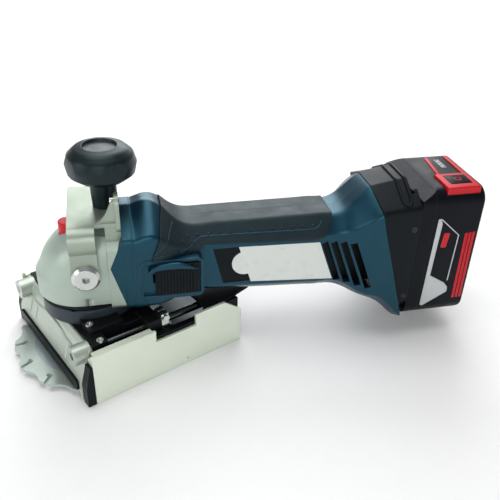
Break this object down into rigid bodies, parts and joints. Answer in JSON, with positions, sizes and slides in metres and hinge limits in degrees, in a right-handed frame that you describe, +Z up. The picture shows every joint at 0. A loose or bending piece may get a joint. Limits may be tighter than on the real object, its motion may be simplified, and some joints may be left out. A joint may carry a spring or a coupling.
{
  "type": "biscuit joiner",
  "caption": "Cordless biscuit joiner: low shoe with side plates and slotted fence, sliding carriage, swivelling angle head with front knob, slotted disc blade and slide-on battery pack.",
  "frame": {"origin": "where the blade's axis meets the underside of the shoe", "axes": "+Z up, -X the cutting direction (fence and blade at the front), side plates along +X; the head is at its rest swing of 25 degrees towards -Y"},
  "size_m": [0.3511, 0.2259, 0.17],
  "materials": {
    "stainless": "satin",
    "zinc": "satin",
    "cast_alloy": "matt die-cast",
    "black_rubber": "matt",
    "black_plastic": "fine texture",
    "black_anodised": "matt anodised",
    "ground_steel": "ground",
    "grey_alloy": "satin",
    "bracket_steel": "satin",
    "blue_plastic": "fine texture",
    "label": "gloss",
    "black_screw": "black oxide",
    "ferrite": "matt",
    "circuit_board": "satin",
    "battery_plastic": "fine texture",
    "red_plastic": "satin",
    "laminations": "dull",
    "copper": "satin",
    "blade_steel": "ground",
    "cell_wrap": "gloss"
  },
  "bodies": {
    "shoe": {"sole_plate": "stainless", "shoe_screws": "zinc", "front_fence": "cast_alloy", "fence_strip": "black_rubber", "corner_guards": "black_plastic", "side_plate_near": "stainless", "side_plate_far": "stainless", "side_rails": "black_anodised", "guide_rods": "ground_steel", "rear_bridge": "black_anodised"},
    "carriage": {"carriage_block": "black_anodised", "swivel_neck": "grey_alloy", "rod_clamps": "zinc", "carriage_screws": "zinc"},
    "head": {"bearing_flange": "grey_alloy", "swivel_collar": "black_plastic", "retaining_ring": "ground_steel", "spindle_bearings": "ground_steel", "gear_case": "cast_alloy", "gear_case_screws": "zinc", "knob_bracket": "bracket_steel", "bracket_bolts": "zinc", "ear_screws": "zinc", "motor_flange": "blue_plastic", "housing_left": "blue_plastic", "housing_right": "blue_plastic", "side_insert": "black_plastic", "label_plate": "label", "housing_screws": "black_screw", "grip_left": "black_rubber", "grip_right": "black_rubber", "motor_can": "ground_steel", "motor_magnets": "ferrite", "armature_bearings": "ground_steel", "brush_holder": "black_plastic", "carbon_brushes": "ferrite", "switch_module": "black_plastic", "control_board": "circuit_board", "battery_foot": "battery_plastic", "terminal_block": "black_plastic", "lock_spring": "ground_steel"},
    "knob": {"knob": "black_plastic", "knob_stud": "zinc"},
    "lock": {"lock_button": "red_plastic"},
    "switch": {"slide_switch": "black_plastic", "switch_link": "black_plastic"},
    "armature": {"armature_shaft": "ground_steel", "armature_core": "laminations", "commutator": "copper", "fan": "black_plastic", "pinion": "ground_steel"},
    "spindle": {"spindle": "ground_steel", "inner_flange": "ground_steel", "blade": "blade_steel", "blade_screws": "black_screw", "crown_gear": "ground_steel"},
    "battery": {"battery_front_shell": "battery_plastic", "battery_rear_shell": "battery_plastic", "battery_cells": "cell_wrap"},
    "release": {"release_button": "red_plastic"}
  },
  "joints": [
    {"name": "plunge", "type": "slide", "parent": "shoe", "child": "carriage", "axis": [1, 0, 0], "range_m": [0, 0.02]},
    {"name": "swivel", "type": "hinge", "parent": "carriage", "child": "head", "pos_m": [0, 0, 0.052], "axis": [0, 0, 1], "range_deg": [0, 30]},
    {"name": "spindle_spin", "type": "hinge", "parent": "head", "child": "spindle", "pos_m": [0, 0, 0.05], "axis": [0, 0, 1], "continuous": true},
    {"name": "armature_spin", "type": "hinge", "parent": "head", "child": "armature", "pos_m": [0.04532, -0.02113, 0.08], "axis": [0.9063, -0.4226, 0], "continuous": true},
    {"name": "switch_slide", "type": "slide", "parent": "head", "child": "switch", "axis": [-0.9063, 0.4226, 0], "range_m": [0, 0.007]},
    {"name": "lock_press", "type": "slide", "parent": "head", "child": "lock", "axis": [0, 0, -1], "range_m": [0, 0.0025], "stiffness_N_per_m": 800, "springref_m": -0.001, "deforming": ["lock_spring"]},
    {"name": "knob_turn", "type": "hinge", "parent": "head", "child": "knob", "pos_m": [0.01595, -0.00744, 0.13], "axis": [0, 0, 1], "continuous": true},
    {"name": "battery_slide", "type": "slide", "parent": "head", "child": "battery", "axis": [0, 0, 1], "range_m": [0, 0.12]},
    {"name": "release_press", "type": "slide", "parent": "battery", "child": "release", "axis": [0, 0, -1], "range_m": [0, 0.0025], "stiffness_N_per_m": 800, "springref_m": -0.001}
  ],
  "couplings": [
    {"joint": "armature_spin", "follows": "spindle_spin", "ratio": 3.1}
  ]
}
